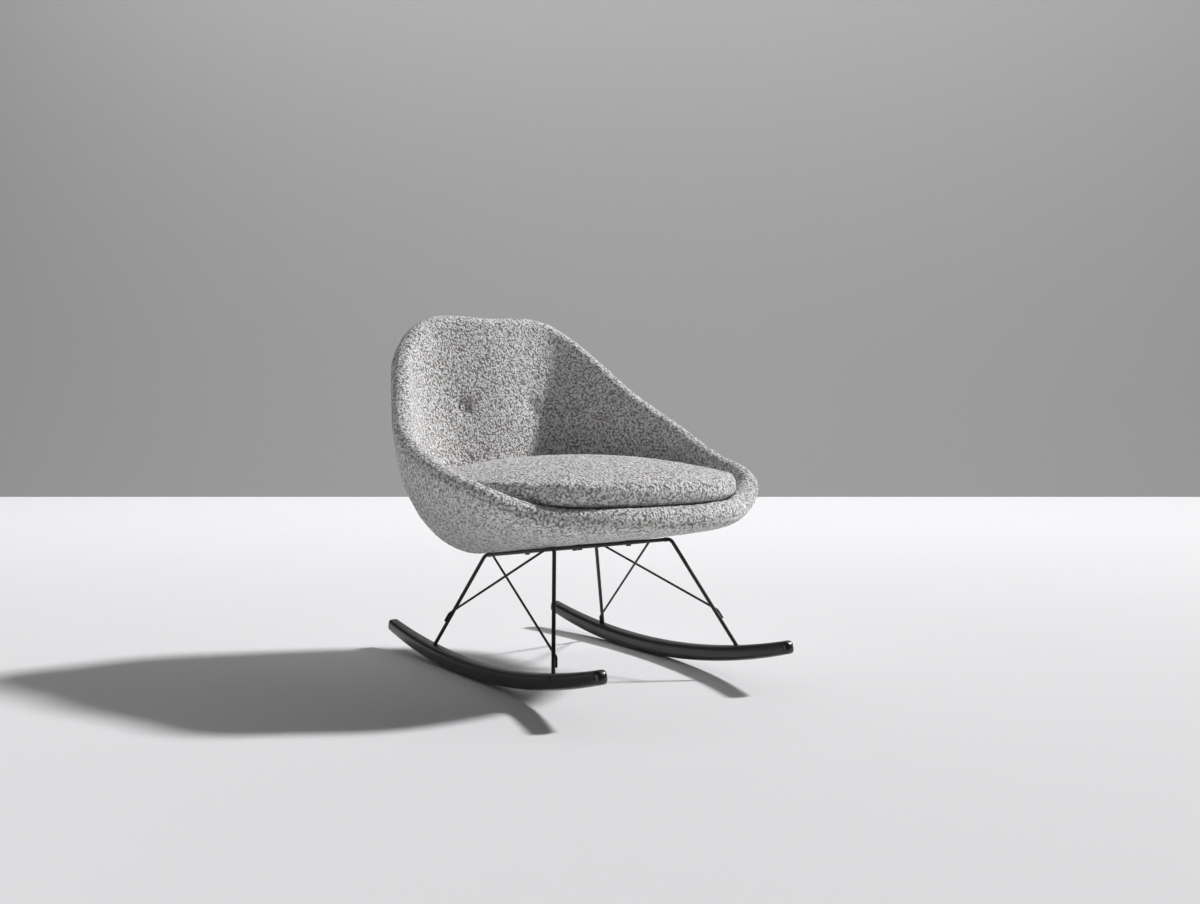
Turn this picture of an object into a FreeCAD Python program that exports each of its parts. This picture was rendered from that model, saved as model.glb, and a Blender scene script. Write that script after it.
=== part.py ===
"""Rocking lounge chair: padded tub on a bent-rod base with two wooden runners.

Millimetres, +Z up. The front faces -Y and the sitter's left is +X. The origin is on the
floor, under the middle of the chair. The chair stands as it comes to rest on its runners.
"""
import FreeCAD, Part
import math
import os

V = FreeCAD.Vector
UP = V(0, 0, 1)

# Fits
fit_gap = 0.3            # between two layers, and round a rod in its socket
weld_gap = 0.1           # left beside a welded rod
thread_gap = 0.1         # between a screw and the hole that holds it
hole_gap = 0.4           # round a bolt in a clearance hole

# Runners: two arcs of one radius, 36 mm high in the middle
runner_spacing = 452.0
runner_radius = 1792.0   # of the middle line
runner_height = 36.0
runner_width = 32.0
runner_tip_height = 27.0
runner_tip_width = 25.0
rear_tip_angle = 11.2    # from where the runner meets the floor
front_tip_angle = 16.2
runner_edge = 12.0       # radius of the long edges
tip_rounding = 11.0      # length of the rounded tip
rest_angle = 2.1         # of the short flat stretch that the runner rests on

# Bent-rod side frames and the two bars between them
rod = 8.0
brace_rod = 5.0
bend_radius = 14.0
frame_width = 294.0
frame_length = 281.0
frame_tilt = 8.6         # degrees, front edge high
frame_height = 262.7     # rod middle above the floor, at the middle of the frame
frame_forward = 88.0     # middle of the frame, in front of the floor contact
rear_foot_reach = 137.0  # behind the floor contact
front_foot_reach = 346.0
socket_depth = 24.0
socket_spare = 1.0       # below the end of a leg
crossbar_inset = 12.0
weld_turn = 20.0         # length of a brace's end that lies along the leg
brace_bend = 9.0

# Each brace: where it starts on the top bar, from 0 at the rear corner to 1 at the front,
# which leg it ends on, how far down that leg, and whether it lies outside (1) or inside (-1)
braces = {
    "right_brace_to_rear": (0.95, "rear", 0.66, 1),
    "right_brace_to_front": (0.08, "front", 0.88, -1),
    "left_brace_to_front": (0.05, "front", 0.69, 1),
    "left_brace_to_rear": (0.75, "rear", 0.90, -1)}

# Mounting tabs, pads and bolts under the tub
tab_length = 38.0
tab_width = 30.0
tab_thickness = 3.0
tab_offset = 62.0        # middle of a tab from the middle of the chair
tab_hole_inset = 13.0    # from the tab's free end
bolt = 6.0
bolt_head = 10.0         # across flats
bolt_head_height = 4.0
washer_diameter = 12.0
washer_thickness = 1.6
nut_barrel = 8.5
nut_barrel_length = 8.0
nut_flange = 19.0
nut_flange_thickness = 1.5
board_screw = 4.0
board_screw_head = 8.0
board_screw_head_height = 2.5
board_screw_offset = 60.0
leg_screw = 5.0
leg_screw_head = 9.0
leg_screw_head_height = 3.5
leg_screw_sink = 1.0
leg_screw_clearance = 1.2   # the tip stops short of the leg, which stands at a slant
pad_inset = 0.5          # from a rubber pad to the bar that its tab is welded to

# Tub wall: a shell between foam, under a sewn cover
base_half = 20.0         # half of the wall's thickness under the seat
lip_half = 26.0          # half of the rolled rim at the front
side_half = 22.0
back_half = 25.0
lumbar_padding = 12.0    # extra foam inside the back
shell_thickness = 5.0
cover_thickness = 2.5
seam_angle = 150.0       # round the rim, from the inside to the cover's seam
seam_opening = 0.012     # between the pad and the cover there, as a share of half a turn

# Flat bottom of the tub, in the plane of the frame
bottom_half_width = 149.0
bottom_half_length = 195.0
bottom_behind = 64.0     # its middle, behind the middle of the frame
bottom_squareness = 2.6

# Middle line of the rim from the front to the back, on the sitter's left:
# across, behind the middle of the frame, above the rods
rim_points = [
    (0, -327, 82), (138, -307, 84), (240, -249, 91), (328, -178, 130), (355, -48, 167),
    (355, 93, 230), (301, 227, 320), (236, 339, 425), (153, 385, 480), (0, 382, 484)]

# How the wall sweeps up from the bottom to the rim: front, side, back
floor_run = (0.34, 0.63, 0.45)
wall_run = (0.46, 0.53, 0.50)
wall_lean = (53.0, 3.5, 12.0)

# Two tufts in the back
tuft_offset = 94.0
tuft_height = 372.0      # above the rods
tuft_radius = 34.0
tuft_depth = 15.0
button_diameter = 15.0
button_thickness = 5.0
cord_diameter = 2.4
anchor_diameter = 16.0
anchor_thickness = 2.5
anchor_gap = 1.6         # behind the shell

# Loose seat cushion
cushion_gap = 2.2        # between the cushion and the tub that it rests in
cushion_edge = 112.0     # height of its lower edge above the rods
cushion_band = 46.0      # height of its side band
cushion_swell = (8.0, 1.5, 0.5)
cushion_crown = 38.0
cushion_panel = 2.5
cushion_centre = 0.0     # behind the middle of the frame
seam_gap = 0.2           # between two sewn panels
cushion_shares = [0, 0.35, 0.6, 0.82]
band_levels = [(0, 0), (0.3, 0.8), (0.7, 0.9), (1, 0)]
crown_shares = [0.12, 0.3, 0.55, 0.8]
crown_fullness = 2.0

# How finely the forms are drawn
stations = 40            # round the tub and the cushion
half_stations = stations // 2
front_sections = 7       # along a runner, in front of the flat stretch
rear_sections = 5
tip_shares = [0.45, 0.8, 1]
sewing_reach = 0.001
halvings = 30            # steps of the search for the cushion's edge


def mixed(angle, front, side, back):
    """Blend three values by the direction round the tub: 0 front, pi back."""
    end = front if math.cos(angle) > 0 else back
    return side * math.sin(angle) ** 2 + end * math.cos(angle) ** 2


def power(value, exponent):
    """A signed power, for superellipses."""
    return math.copysign(abs(value) ** exponent, value)


def unit(vector):
    return vector * (1 / vector.Length)


# The seat plane, through the tops of the rods
tilt = math.radians(frame_tilt)
contact_y = runner_radius * (math.sin(math.radians(front_tip_angle))
                             - math.sin(math.radians(rear_tip_angle))) / 2
seat_normal = V(0, math.sin(tilt), math.cos(tilt))
seat_back = V(0, math.cos(tilt), -math.sin(tilt))
seat_side = V(1, 0, 0)
frame_centre = V(0, contact_y - frame_forward, frame_height)


def on_seat(x, back, up):
    """A point by its distance across, behind and above the middle of the frame."""
    return frame_centre + seat_side * x + seat_back * back + seat_normal * up


def straight_wire(points):
    """A closed polygon through the points."""
    return Part.makePolygon(points + [points[0]])


def outwards(solid):
    """Turn a solid inside out if its volume is negative."""
    if solid.Volume < 0:
        solid.reverse()
    return solid


def strip_solid(wires):
    """A solid of ruled strips through a row of closed wires, flat at both ends."""
    return outwards(Part.makeLoft(wires, True, True))


def facet_solid(rings, ends=True):
    """A solid of flat triangles between matching rings of points."""
    faces = []
    for low, high in zip(rings, rings[1:]):
        for a, b, c, d in zip(low, low[1:] + low[:1], high[1:] + high[:1], high):
            if (a - c).Length > (b - d).Length:
                a, b, c, d = b, c, d, a
            faces.append(Part.Face(straight_wire([a, b, c])))
            faces.append(Part.Face(straight_wire([a, c, d])))
    if ends:
        faces += [Part.Face(straight_wire(rings[0])), Part.Face(straight_wire(rings[-1]))]
    sewn = Part.makeCompound(faces)
    sewn.sewShape()
    solid = Part.Solid(sewn if sewn.ShapeType == "Shell" else sewn.Shells[0])
    solid.fix(sewing_reach, sewing_reach, sewing_reach)
    return outwards(solid)


def rod_between(start, end, diameter):
    """A straight round rod."""
    return Part.makeCylinder(diameter / 2, (end - start).Length, start, end - start)


def bent_rod(points, diameter, radius):
    """A round rod with a tangent bend of one radius at every corner."""
    solid = None
    last = points[0]
    for before, corner, after in zip(points, points[1:], points[2:]):
        arriving = unit(corner - before)
        leaving = unit(after - corner)
        turn = arriving.getAngle(leaving)
        setback = radius * math.tan(turn / 2)
        first = corner - arriving * setback
        axis = unit(arriving.cross(leaving))
        centre = first + axis.cross(arriving) * radius
        disc = Part.Face(Part.Wire([Part.Circle(first, arriving, diameter / 2).toShape()]))
        straight = rod_between(last, first, diameter)
        bend = disc.revolve(centre, axis, math.degrees(turn))
        solid = straight if solid is None else solid.fuse(straight)
        solid = solid.fuse(bend)
        last = corner + leaving * setback
    return solid.fuse(rod_between(last, points[-1], diameter))


def bore(solid, start, direction, diameter, length):
    """Cut a round hole."""
    return solid.cut(Part.makeCylinder(diameter / 2, length, start, direction))


# Tub form

def rim_curve():
    """The closed middle line of the rim, from the front centre round the left side."""
    origin = frame_centre + UP * (rod / 2)
    left = [origin + V(*point) for point in rim_points]
    curve = Part.BSplineCurve()
    curve.interpolate(Points=mirrored(left), PeriodicFlag=True)
    return curve, curve.parameter(left[-1])


def mirrored(left):
    """A closed ring from its left half, front to back."""
    return left + [V(-point.x, point.y, point.z) for point in reversed(left[1:-1])]


def tub_profiles():
    """Four control points of the wall's middle line at each station of the left half."""
    curve, half = rim_curve()
    centre = on_seat(0, bottom_behind, seat_middle)
    front_length = centre.y - curve.value(0).y
    back_length = curve.value(half).y - centre.y
    widest = max(point[0] for point in rim_points)
    profiles = []
    for index in range(half_stations + 1):
        rim = curve.value(half * index / half_stations)
        length = front_length if rim.y < centre.y else back_length
        angle = math.atan2(rim.x / widest, (centre.y - rim.y) / length)
        across = bottom_half_width * power(math.sin(angle), 2 / bottom_squareness)
        behind = -bottom_half_length * power(math.cos(angle), 2 / bottom_squareness)
        base = centre + seat_side * across + seat_back * behind
        outward = V(rim.x - base.x, rim.y - base.y, 0)
        reach = outward.Length
        outward = unit(outward)
        along = unit(outward - seat_normal * outward.dot(seat_normal))
        lean = math.radians(mixed(angle, *wall_lean))
        wall = outward * math.sin(lean) + UP * math.cos(lean)
        lower = base + along * (mixed(angle, *floor_run) * reach)
        upper = rim - wall * (mixed(angle, *wall_run) * (rim.z - base.z))
        profiles.append((base, lower, upper, rim, angle))
    return profiles


def bezier(profile, t):
    """A point of the wall's middle line, from 0 at the bottom to 1 at the rim."""
    base, lower, upper, rim = profile[:4]
    s = 1 - t
    return base * s ** 3 + lower * (3 * s * s * t) + upper * (3 * s * t * t) + rim * t ** 3


def bezier_slope(profile, t):
    """The direction of the wall's middle line, up towards the rim."""
    base, lower, upper, rim = profile[:4]
    s = 1 - t
    slope = (lower - base) * (s * s) + (upper - lower) * (2 * s * t) + (rim - upper) * (t * t)
    return unit(slope)


seat_under = rod / 2 + fit_gap                 # finished underside of the tub, above the rods
seat_middle = seat_under + base_half
tub_stations = tub_profiles()


def inward(index, t):
    """The unit vector square to the wall, towards the sitter."""
    if t <= 0:
        return seat_normal
    before = bezier(tub_stations[abs(index - 1)], t)
    following = index + 1 if index < half_stations else half_stations - 1
    after = bezier(tub_stations[following], t)
    if index == 0:
        before = V(-before.x, before.y, before.z)
    if index == half_stations:
        after = V(-after.x, after.y, after.z)
    return unit(bezier_slope(tub_stations[index], t).cross(after - before))


def wall_half(index, t):
    """Half of the wall's thickness there."""
    rim_half = mixed(tub_stations[index][4], lip_half, side_half, back_half)
    return base_half + (rim_half - base_half) * t * t


def wall_point(index, place, below=0.0, distance=None):
    """A point `below` the finished surface, or at a distance from the middle of the wall.

    The place runs 0 to 1 up the inside, 1 to 2 round the rim, and 2 to 3 down the outside.
    """
    t = 1 if 1 < place < 2 else min(place, 3 - place)
    profile = tub_stations[index]
    if distance is None:
        distance = wall_half(index, t) - below
        if place <= 1:
            backness = max(0, -math.cos(profile[4])) ** 2
            distance += lumbar_padding * backness * math.sin(math.pi * t) ** 2
    turn = math.pi * min(max(place - 1, 0), 1)
    square = inward(index, t) * math.cos(turn) + bezier_slope(profile, 1) * math.sin(turn)
    return bezier(profile, t) + square * distance


def wall_ring(place, below=0.0, distance=None):
    """The closed ring of a layer at one place."""
    return mirrored([wall_point(index, place, below, distance)
                     for index in range(half_stations + 1)])


def drawn_point(index, place, below):
    """A point at any place on the straight facets between the drawn rings of the pad."""
    drawn = inside_places + rim_places
    following = next(known for known in drawn if known >= place)
    if following == place:
        return wall_point(index, place, below)
    before = max(known for known in drawn if known < place)
    share = (place - before) / (following - before)
    start = wall_point(index, before, below)
    return start + (wall_point(index, following, below) - start) * share


inside_places = [0, 0.22, 0.42, 0.62, 0.82, 1]
rim_places = [1.28, 1.56, 1 + seam_angle / 180]
seam_place = rim_places[-1]
outside_places = [2] + [3 - place for place in reversed(inside_places[:-1])]
shell_half = shell_thickness / 2
foam_start = shell_half + fit_gap


def rings_at(places, below=0.0, distance=None):
    """The rings of one layer at several places."""
    return [wall_ring(place, below, distance) for place in places]


def tub_shell():
    """The moulded shell that carries the padding."""
    return facet_solid(rings_at(inside_places + outside_places, distance=shell_half))


def inner_pad():
    """Foam with its fabric face bonded on, from the seat over the rim to the seam."""
    hidden = rings_at([seam_place] + list(reversed(inside_places)), distance=foam_start)
    return facet_solid(rings_at(inside_places + rim_places) + hidden)


def outer_cover():
    """The sewn outer cover, from the seam down and across the bottom."""
    places = [seam_place + seam_opening] + outside_places
    inside = rings_at(places, below=cover_thickness)
    return facet_solid(list(reversed(rings_at(places))) + inside)


def outer_foam():
    """The foam between the shell and the outer cover, open where the board sits."""
    places = [seam_place + 2 * seam_opening] + outside_places
    under = rings_at(places, below=cover_thickness + fit_gap)
    hidden = rings_at(list(reversed(places)), distance=foam_start)
    return facet_solid(under + hidden + under[:1], ends=False)


def board_outline(clearance):
    """The flat ring inside the outer foam where the mounting board sits."""
    half = []
    for index in range(half_stations + 1):
        base = tub_stations[index][0]
        centre = on_seat(0, bottom_behind, seat_middle)
        half.append(base + unit(centre - base) * clearance)
    return mirrored(half)


def board_levels():
    """The underside and the top of the mounting board, above the rods' middle."""
    return seat_under + cover_thickness + fit_gap, seat_middle - foam_start


def mounting_board():
    """The plywood board that the base is bolted to."""
    low, high = board_levels()
    rings = [[point + seat_normal * (level - seat_middle) for point in board_outline(2 * fit_gap)]
             for level in (low, high)]
    board = strip_solid([straight_wire(ring) for ring in rings])
    for place in tab_places():
        start = on_seat(*place, low - fit_gap)
        board = bore(board, start, seat_normal, bolt + 2 * hole_gap, high)
        barrel_start = on_seat(*place, high - nut_flange_thickness - nut_barrel_length - fit_gap)
        board = bore(board, barrel_start, seat_normal, nut_barrel + 2 * thread_gap, high)
        flange_start = on_seat(*place, high - nut_flange_thickness)
        board = bore(board, flange_start, seat_normal, nut_flange + 2 * thread_gap, high)
    for place in board_screw_places():
        board = bore(board, on_seat(*place, low - fit_gap), seat_normal,
                     board_screw + 2 * thread_gap, high)
        board = bore(board, on_seat(*place, low - fit_gap), seat_normal,
                     board_screw_head + 2 * thread_gap, fit_gap + board_screw_head_height)
    return board


def tab_places():
    """Where the four bolts pass: across, and behind the middle of the frame."""
    back = frame_length / 2 - crossbar_inset - tab_length + tab_hole_inset
    return [(x, y) for y in (-back, back) for x in (-tab_offset, tab_offset)]


def board_screw_places():
    """Where the board is screwed to the shell."""
    return [(x, y) for y in (-board_screw_offset, 2 * board_screw_offset)
            for x in (-board_screw_offset, board_screw_offset)]


def disc(place, level, diameter, height, hole=0.0):
    """A round piece square to the seat plane, with or without a hole."""
    start = on_seat(*place, level)
    solid = Part.makeCylinder(diameter / 2, height, start, seat_normal)
    return bore(solid, start, seat_normal, hole, height) if hole else solid


def hexagon(place, level, across_flats, height):
    """A hexagonal prism square to the seat plane."""
    radius = across_flats / math.sqrt(3)
    corners = []
    for index in range(6):
        turn = math.radians(60 * index)
        corners.append(on_seat(place[0] + radius * math.cos(turn),
                               place[1] + radius * math.sin(turn), level))
    return Part.Face(straight_wire(corners)).extrude(seat_normal * height)


def seat_fasteners():
    """Bolts, washers, nuts and screws between the base, the board and the shell."""
    low, high = board_levels()
    tab_under = -tab_thickness / 2
    washer_under = tab_under - washer_thickness
    nut_under = high - nut_flange_thickness - nut_barrel_length
    bolts, washers, nuts, screws = [], [], [], []
    for place in tab_places():
        head = hexagon(place, washer_under - bolt_head_height, bolt_head, bolt_head_height)
        shank = disc(place, washer_under, bolt, high - nut_flange_thickness - washer_under)
        bolts.append(head.fuse(shank))
        washers.append(disc(place, washer_under, washer_diameter, washer_thickness,
                            bolt + 2 * hole_gap))
        barrel = disc(place, nut_under, nut_barrel, nut_barrel_length)
        flange = disc(place, high - nut_flange_thickness, nut_flange, nut_flange_thickness)
        nuts.append(bore(barrel.fuse(flange), on_seat(*place, nut_under), seat_normal,
                         bolt + 2 * thread_gap, high))
    for place in board_screw_places():
        head = disc(place, low, board_screw_head, board_screw_head_height)
        shank = disc(place, low, board_screw, seat_middle - low)
        screws.append(head.fuse(shank))
    return {
        "mount_bolts": Part.makeCompound(bolts),
        "mount_washers": Part.makeCompound(washers),
        "mount_nuts": Part.makeCompound(nuts),
        "board_screws": Part.makeCompound(screws)}


# Tufts

def tuft_frame(pad, side):
    """Where a tuft's middle lies on the bare pad, and the direction into the back."""
    lean = math.radians(wall_lean[2])
    into = V(0, math.cos(lean), -math.sin(lean))
    through = V(side * tuft_offset, frame_centre.y, frame_centre.z + tuft_height)
    line = Part.LineSegment(through, through + into * bottom_half_length * 3).toShape()
    return min((vertex.Point for vertex in line.common(pad).Vertexes),
               key=lambda point: point.y), into


def tufts(shell, pad, foam):
    """Sink two tufts in the back and tie each through the pad and the shell."""
    buttons, cords, anchors = [], [], []
    for side in (1, -1):
        face, into = tuft_frame(pad, side)
        bottom = face + into * tuft_depth
        dimple = Part.makeSphere(tuft_radius, bottom - into * tuft_radius)
        line = Part.LineSegment(bottom, bottom + into * bottom_half_length).toShape()
        exit_point = max((vertex.Point for vertex in line.common(shell).Vertexes),
                         key=lambda point: point.y)
        cord_length = (exit_point - bottom).Length + anchor_gap
        pad = pad.cut(dimple)
        hole = cord_diameter + 2 * fit_gap
        pad = bore(pad, bottom - into, into, hole, 2 * cord_length)
        shell = bore(shell, bottom, into, hole, 2 * cord_length)
        pocket = exit_point + into * (anchor_gap - fit_gap)
        foam = bore(foam, exit_point - into * 2 * shell_thickness, into, anchor_diameter + 2 * fit_gap,
                    2 * shell_thickness + anchor_gap + anchor_thickness + fit_gap)
        seat = tuft_radius - math.sqrt(tuft_radius ** 2 - (button_diameter / 2) ** 2)
        cap_start = bottom - into * (button_thickness + seat)
        buttons.append(Part.makeCylinder(button_diameter / 2, button_thickness - fit_gap,
                                         cap_start, into))
        cords.append(Part.makeCylinder(cord_diameter / 2, cord_length - fit_gap, bottom, into))
        anchors.append(Part.makeCylinder(anchor_diameter / 2, anchor_thickness,
                                         exit_point + into * anchor_gap, into))
    return shell, pad, foam, {
        "tuft_buttons": Part.makeCompound(buttons),
        "tuft_cords": Part.makeCompound(cords),
        "tuft_anchors": Part.makeCompound(anchors)}


# Cushion

def cushion_centre_point(level):
    return V(0, frame_centre.y + cushion_centre, level)


def cushion_edge_level():
    return frame_centre.z + rod / 2 + cushion_edge


def bedded_place(index, level, below):
    """How far up the inside of the tub, or over its front lip, the cushion lies against it."""
    lean = mixed(tub_stations[index][4], *wall_lean)
    low, high = 0.0, 1 + (90 - lean) / 180
    if drawn_point(index, high, below).z <= level:
        return high
    for _ in range(halvings):
        middle = (low + high) / 2
        if drawn_point(index, middle, below).z < level:
            low = middle
        else:
            high = middle
    return low


def cushion_rings(inset):
    """Rings of points over the cushion: underside, side band and crowned top."""
    level = cushion_edge_level()
    under = [[] for _ in cushion_shares]
    band = [[] for _ in band_levels]
    for index in range(half_stations + 1):
        angle = tub_stations[index][4]
        reach = bedded_place(index, level, -cushion_gap)
        for ring, share in zip(under, cushion_shares):
            ring.append(drawn_point(index, reach * share, -cushion_gap - inset))
        edge = drawn_point(index, reach, -cushion_gap)
        outward = edge - cushion_centre_point(edge.z)
        outward = unit(V(outward.x, outward.y, 0))
        swell = mixed(angle, *cushion_swell)
        for ring, (rise, bulge) in zip(band, band_levels):
            lift = rise * (cushion_band - 2 * inset) + inset
            ring.append(V(edge.x, edge.y, level + lift) + outward * (swell * bulge - inset))
    rings = [mirrored(ring) for ring in under + band]
    ridge = rings[-1]
    middle = cushion_centre_point(ridge[0].z)
    for inwards in crown_shares:
        rise = cushion_crown * (1 - (1 - inwards) ** crown_fullness)
        rings.append([point + (middle - point) * inwards + UP * rise for point in ridge])
    return rings


def cushion_pieces():
    """The foam core and the three panels of its cover."""
    core = facet_solid(cushion_rings(cushion_panel + 2 * fit_gap))
    cover = facet_solid(cushion_rings(0)).cut(facet_solid(cushion_rings(cushion_panel)))
    low = cushion_edge_level() + seam_gap
    high = cushion_edge_level() + cushion_band - seam_gap
    size = 4 * frame_width
    corner = V(-size / 2, -size / 2, 0)
    under = Part.makeBox(size, size, low - seam_gap / 2, corner)
    band = Part.makeBox(size, size, high - low - seam_gap, corner + UP * (low + seam_gap / 2))
    top = Part.makeBox(size, size, size, corner + UP * (high + seam_gap / 2))
    return {
        "cushion_core": core,
        "cushion_bottom_panel": cover.common(under),
        "cushion_side_band": cover.common(band),
        "cushion_top_panel": cover.common(top)}


# Base

def corner_point(side, end):
    """A corner of the top frame: side 1 left, -1 right; end 1 rear, -1 front."""
    return on_seat(side * frame_width / 2, end * frame_length / 2, 0)


def arc_centre():
    """The middle of the runners' arcs, which puts the flat stretch on the floor."""
    flat = math.cos(math.radians(rest_angle / 2))
    return V(0, contact_y, (runner_radius + runner_height / 2) * flat)


def foot_point(side, end):
    """Where a leg enters the top of its runner."""
    reach = rear_foot_reach if end == 1 else front_foot_reach
    top_radius = runner_radius - runner_height / 2
    rise = arc_centre().z - math.sqrt(top_radius ** 2 - reach ** 2)
    return V(side * runner_spacing / 2, contact_y + end * reach, rise)


def leg_line(side, end):
    """The top corner, the foot, and the direction of a leg."""
    corner = corner_point(side, end)
    foot = foot_point(side, end)
    return corner, foot, unit(foot - corner)


def side_frame(side):
    """One bent rod: rear leg, top bar and front leg."""
    rear_corner, rear_foot, rear_way = leg_line(side, 1)
    front_corner, front_foot, front_way = leg_line(side, -1)
    return bent_rod([rear_foot + rear_way * socket_depth, rear_corner,
                     front_corner, front_foot + front_way * socket_depth], rod, bend_radius)


def runner_section(angle, share, side):
    """A rounded rectangle across the runner at an angle from the floor contact."""
    away = V(0, math.sin(angle), -math.cos(angle))
    centre = arc_centre() + away * runner_radius + seat_side * (side * runner_spacing / 2)
    tip = max(angle / math.radians(rear_tip_angle), -angle / math.radians(front_tip_angle), 0)
    narrowing = min(tip, 1) ** 2
    half_height = (runner_height + (runner_tip_height - runner_height) * narrowing) / 2 * share
    half_width = (runner_width + (runner_tip_width - runner_width) * narrowing) / 2 * share
    radius = runner_edge * half_width / runner_width * 2
    edges = []
    last = None
    for across, up, turned in ((1, 1, False), (-1, 1, True), (-1, -1, False), (1, -1, True)):
        middle = centre + seat_side * across * (half_width - radius) - away * up * (half_height - radius)
        corner = [middle + seat_side * across * radius,
                  middle + unit(seat_side * across - away * up) * radius,
                  middle - away * up * radius]
        if turned:
            corner.reverse()
        if last:
            edges.append(Part.LineSegment(last, corner[0]).toShape())
        edges.append(Part.Arc(*corner).toShape())
        last = corner[2]
    edges.append(Part.LineSegment(last, edges[0].Vertexes[0].Point).toShape())
    return Part.Wire(edges)


def runner(side):
    """A curved wooden runner with rounded tips, bored for two legs and their screws."""
    front = -math.radians(front_tip_angle)
    rear = math.radians(rear_tip_angle)
    tip_turn = tip_rounding / runner_radius
    sections = []
    for share in tip_shares:
        sections.append((front - tip_turn * math.sqrt(1 - share ** 2), share))
    flat = math.radians(rest_angle / 2)
    for index in range(1, front_sections + 1):
        sections.append((front + (-flat - front) * index / front_sections, 1))
    for index in range(rear_sections):
        sections.append((flat + (rear - flat) * index / rear_sections, 1))
    for share in reversed(tip_shares):
        sections.append((rear + tip_turn * math.sqrt(1 - share ** 2), share))
    solid = strip_solid([runner_section(angle, share, side) for angle, share in sections])
    for end in (1, -1):
        foot = foot_point(side, end)
        way = leg_line(side, end)[2]
        solid = bore(solid, foot - way * rod, way, rod + 2 * fit_gap,
                     rod + socket_depth + socket_spare)
        target, outer, direction = leg_screw_line(side, end)
        solid = bore(solid, outer, direction, leg_screw + 2 * thread_gap, runner_width / 2)
        solid = bore(solid, outer, direction, leg_screw_head + 2 * thread_gap,
                     leg_screw_sink + leg_screw_head_height)
    return solid


def leg_screw_line(side, end):
    """From the runner's outer face to the side of the leg in its socket."""
    foot = foot_point(side, end)
    way = leg_line(side, end)[2]
    middle = foot + way * (socket_depth / 2)
    outer = V(side * (runner_spacing + runner_width) / 2, middle.y, middle.z)
    return middle, outer, V(-side, 0, 0)


def leg_screws():
    """Screws through the outer side of the runners that hold the legs."""
    screws = []
    for side in (1, -1):
        for end in (1, -1):
            middle, outer, direction = leg_screw_line(side, end)
            start = outer + direction * leg_screw_sink
            length = (middle - start).Length - rod / 2 - leg_screw_clearance
            head = Part.makeCylinder(leg_screw_head / 2, leg_screw_head_height, start, direction)
            shank = Part.makeCylinder(leg_screw / 2, length, start, direction)
            screws.append(head.fuse(shank))
    return Part.makeCompound(screws)


def brace(side, along, leg, down, lap):
    """A thin rod welded beside the top bar and beside a leg, its lower end turned down it."""
    rear, front = corner_point(side, 1), corner_point(side, -1)
    corner, foot, way = leg_line(side, 1 if leg == "rear" else -1)
    start = rear + (front - rear) * along
    end = corner + (foot - corner) * down
    slope = unit(end - start)
    beside = (rod + brace_rod) / 2 + weld_gap
    bar_side = unit(slope.cross(unit(front - rear)))
    leg_side = unit(slope.cross(way))
    outside = seat_side * side * lap
    bar_side = bar_side * math.copysign(beside, bar_side.dot(outside))
    leg_side = leg_side * math.copysign(beside, leg_side.dot(outside))
    return bent_rod([start + bar_side, end + leg_side, end + leg_side + way * weld_turn],
                    brace_rod, brace_bend)


def crossbar(end):
    """A rod between the two top bars, coped to meet them."""
    back = end * (frame_length / 2 - crossbar_inset)
    solid = rod_between(on_seat(-frame_width / 2, back, 0), on_seat(frame_width / 2, back, 0), rod)
    for side in (1, -1):
        axis = unit(corner_point(side, 1) - corner_point(side, -1))
        middle = on_seat(side * frame_width / 2, back, 0)
        solid = bore(solid, middle - axis * 3 * rod, axis, rod + 2 * weld_gap, 6 * rod)
    return max(solid.Solids, key=lambda piece: piece.Volume)


def seat_box(x, back, level, width, length, height):
    """A box square to the seat plane, from its middle across and along."""
    box = Part.makeBox(width, length, height, V(-width / 2, -length / 2, 0))
    turn = FreeCAD.Rotation(V(1, 0, 0), -frame_tilt)
    box.Placement = FreeCAD.Placement(on_seat(x, back, level), turn)
    return box


def tab_pieces():
    """Four welded tabs with a rubber pad on each, and the names of their corners."""
    pieces = {}
    reach = frame_length / 2 - crossbar_inset
    for x, back in tab_places():
        name = ("rear" if back > 0 else "front") + ("_left" if x > 0 else "_right")
        end = math.copysign(1, back)
        middle = end * (reach - tab_length / 2)
        tab = seat_box(x, middle, -tab_thickness / 2, tab_width, tab_length, tab_thickness)
        bar = on_seat(x - tab_width, end * reach, 0)
        tab = bore(tab, bar, seat_side, rod + 2 * weld_gap, 2 * tab_width)
        tab = bore(tab, on_seat(x, back, -tab_thickness), seat_normal, bolt + 2 * hole_gap,
                   2 * tab_thickness)
        tab = max(tab.Solids, key=lambda piece: piece.Volume)
        pad_length = tab_length - rod
        pad = seat_box(x, end * (reach - rod / 2 - pad_inset - pad_length / 2),
                       tab_thickness / 2, tab_width, pad_length, seat_under - tab_thickness / 2)
        pad = bore(pad, on_seat(x, back, 0), seat_normal, bolt + 2 * hole_gap, tab_length)
        pieces["mount_tab_" + name] = tab
        pieces["rubber_pad_" + name] = pad
    return pieces


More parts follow.
